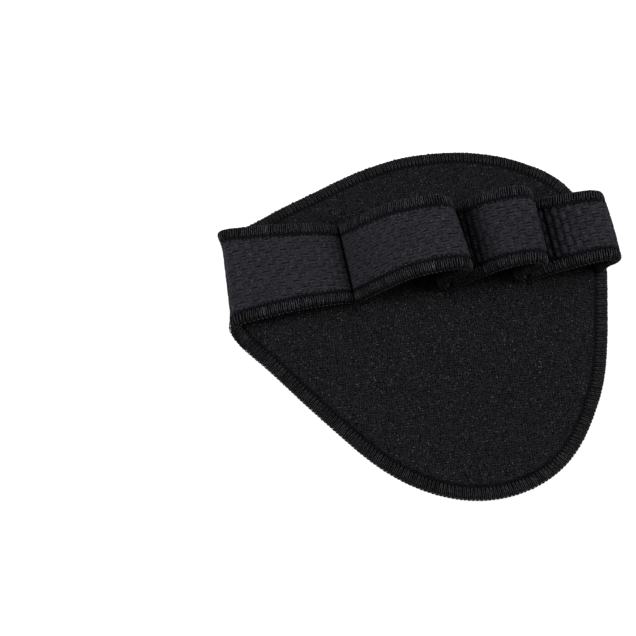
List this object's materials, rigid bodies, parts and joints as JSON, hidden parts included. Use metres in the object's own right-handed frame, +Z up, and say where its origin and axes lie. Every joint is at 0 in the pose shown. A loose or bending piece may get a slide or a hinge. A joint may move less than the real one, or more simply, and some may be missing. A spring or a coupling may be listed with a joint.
{
  "type": "lifting grip pad",
  "caption": "Padded palm guard with a teardrop outline, its folded-over tail sewn across the back into a row of finger loops.",
  "frame": {"origin": "middle of the bounding box's underside, on the plane that the grip fabric rests on", "axes": "+X along the finger strip from the fold at the index finger to its sewn end, +Y towards the fingertips, +Z up out of the back of the pad, grip fabric down"},
  "size_m": [0.1242, 0.1154, 0.0267],
  "materials": {
    "jersey_foam": "matte black jersey over foam",
    "grip_fabric": "matte black woven grip fabric",
    "edging_thread": "black overlock thread"
  },
  "bodies": {
    "root": {"palm_pad": "jersey_foam", "palm_grip_face": "grip_fabric", "pad_edging": "edging_thread", "finger_strip": "jersey_foam", "strip_grip_face": "grip_fabric", "strip_edging_upper": "edging_thread", "strip_edging_lower": "edging_thread"}
  },
  "joints": []
}
